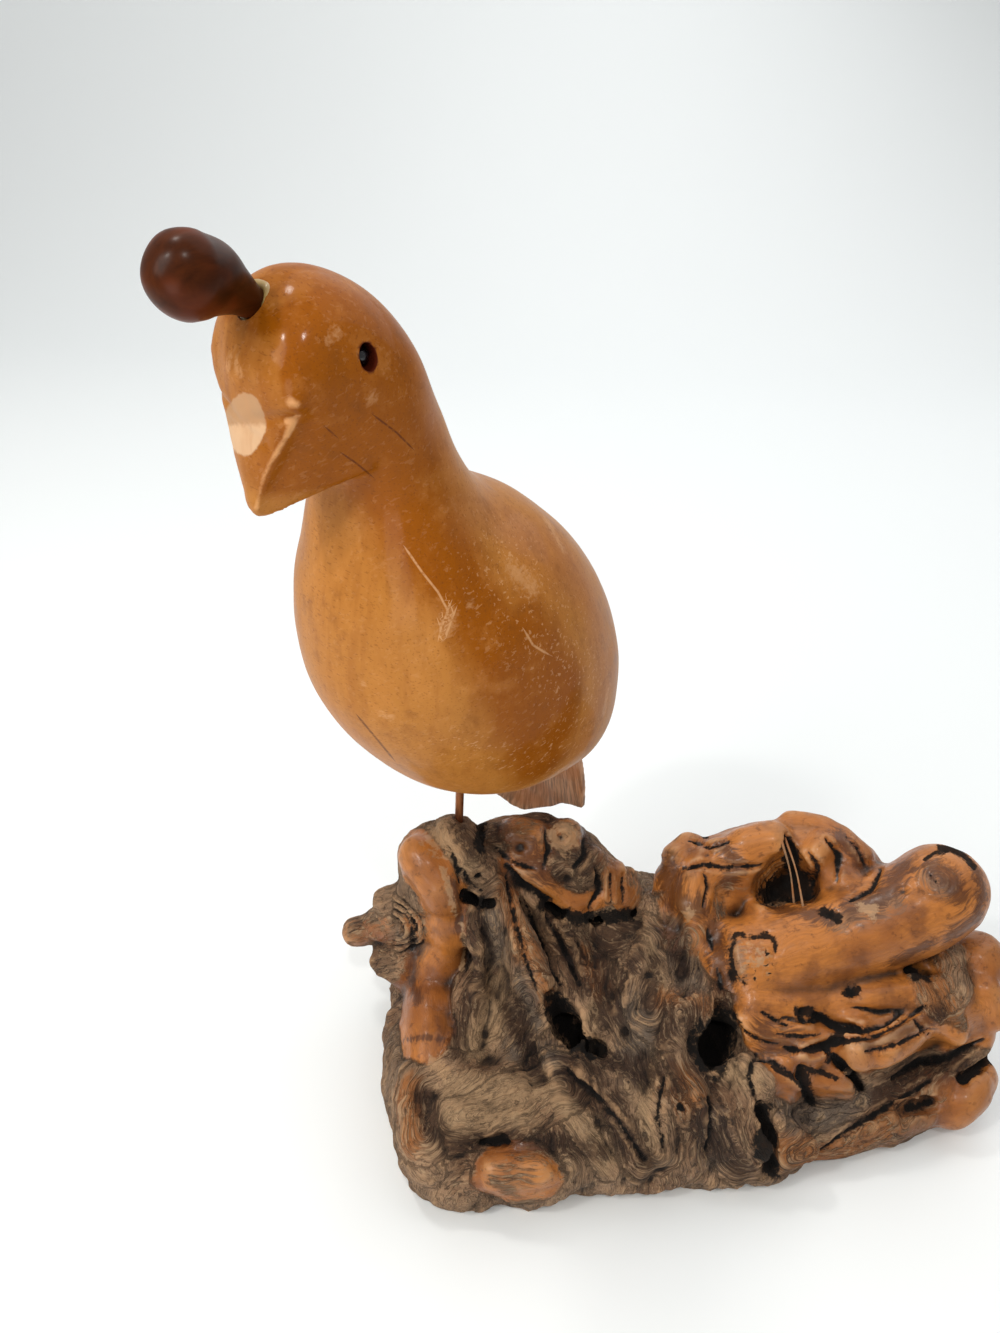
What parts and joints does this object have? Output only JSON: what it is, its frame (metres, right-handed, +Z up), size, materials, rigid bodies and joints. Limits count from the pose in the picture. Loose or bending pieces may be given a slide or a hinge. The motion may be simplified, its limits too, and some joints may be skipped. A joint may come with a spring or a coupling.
{
  "type": "bird carving",
  "caption": "Carved wooden quail with a teardrop topknot and dark fan tail, standing on a wire leg in a gnarled root burl with a sawn flat underside.",
  "frame": {"origin": "centre of the object's footprint box, on the table under the burl", "axes": "+Z up; -Y is the front of the burl, towards the viewer; +X to the viewer's right; the bird looks to the front left"},
  "size_m": [0.2164, 0.1174, 0.2398],
  "materials": {
    "carved_wood": "warm orange brown wood under a worn semi-gloss lacquer",
    "dark_wood": "polished dark walnut",
    "tail_wood": "thin dark mauve brown wood, satin",
    "root_wood": "weathered burl: polished orange lobes, grey brown fibrous valleys, black crevices",
    "leg_wire": "browned metal wire",
    "eye_glass": "glossy black bead"
  },
  "bodies": {
    "root": {"quail_body": "carved_wood", "topknot": "dark_wood", "tail": "tail_wood", "left_eye": "eye_glass", "right_eye": "eye_glass", "leg_rod": "leg_wire", "burl_base": "root_wood"}
  },
  "joints": []
}
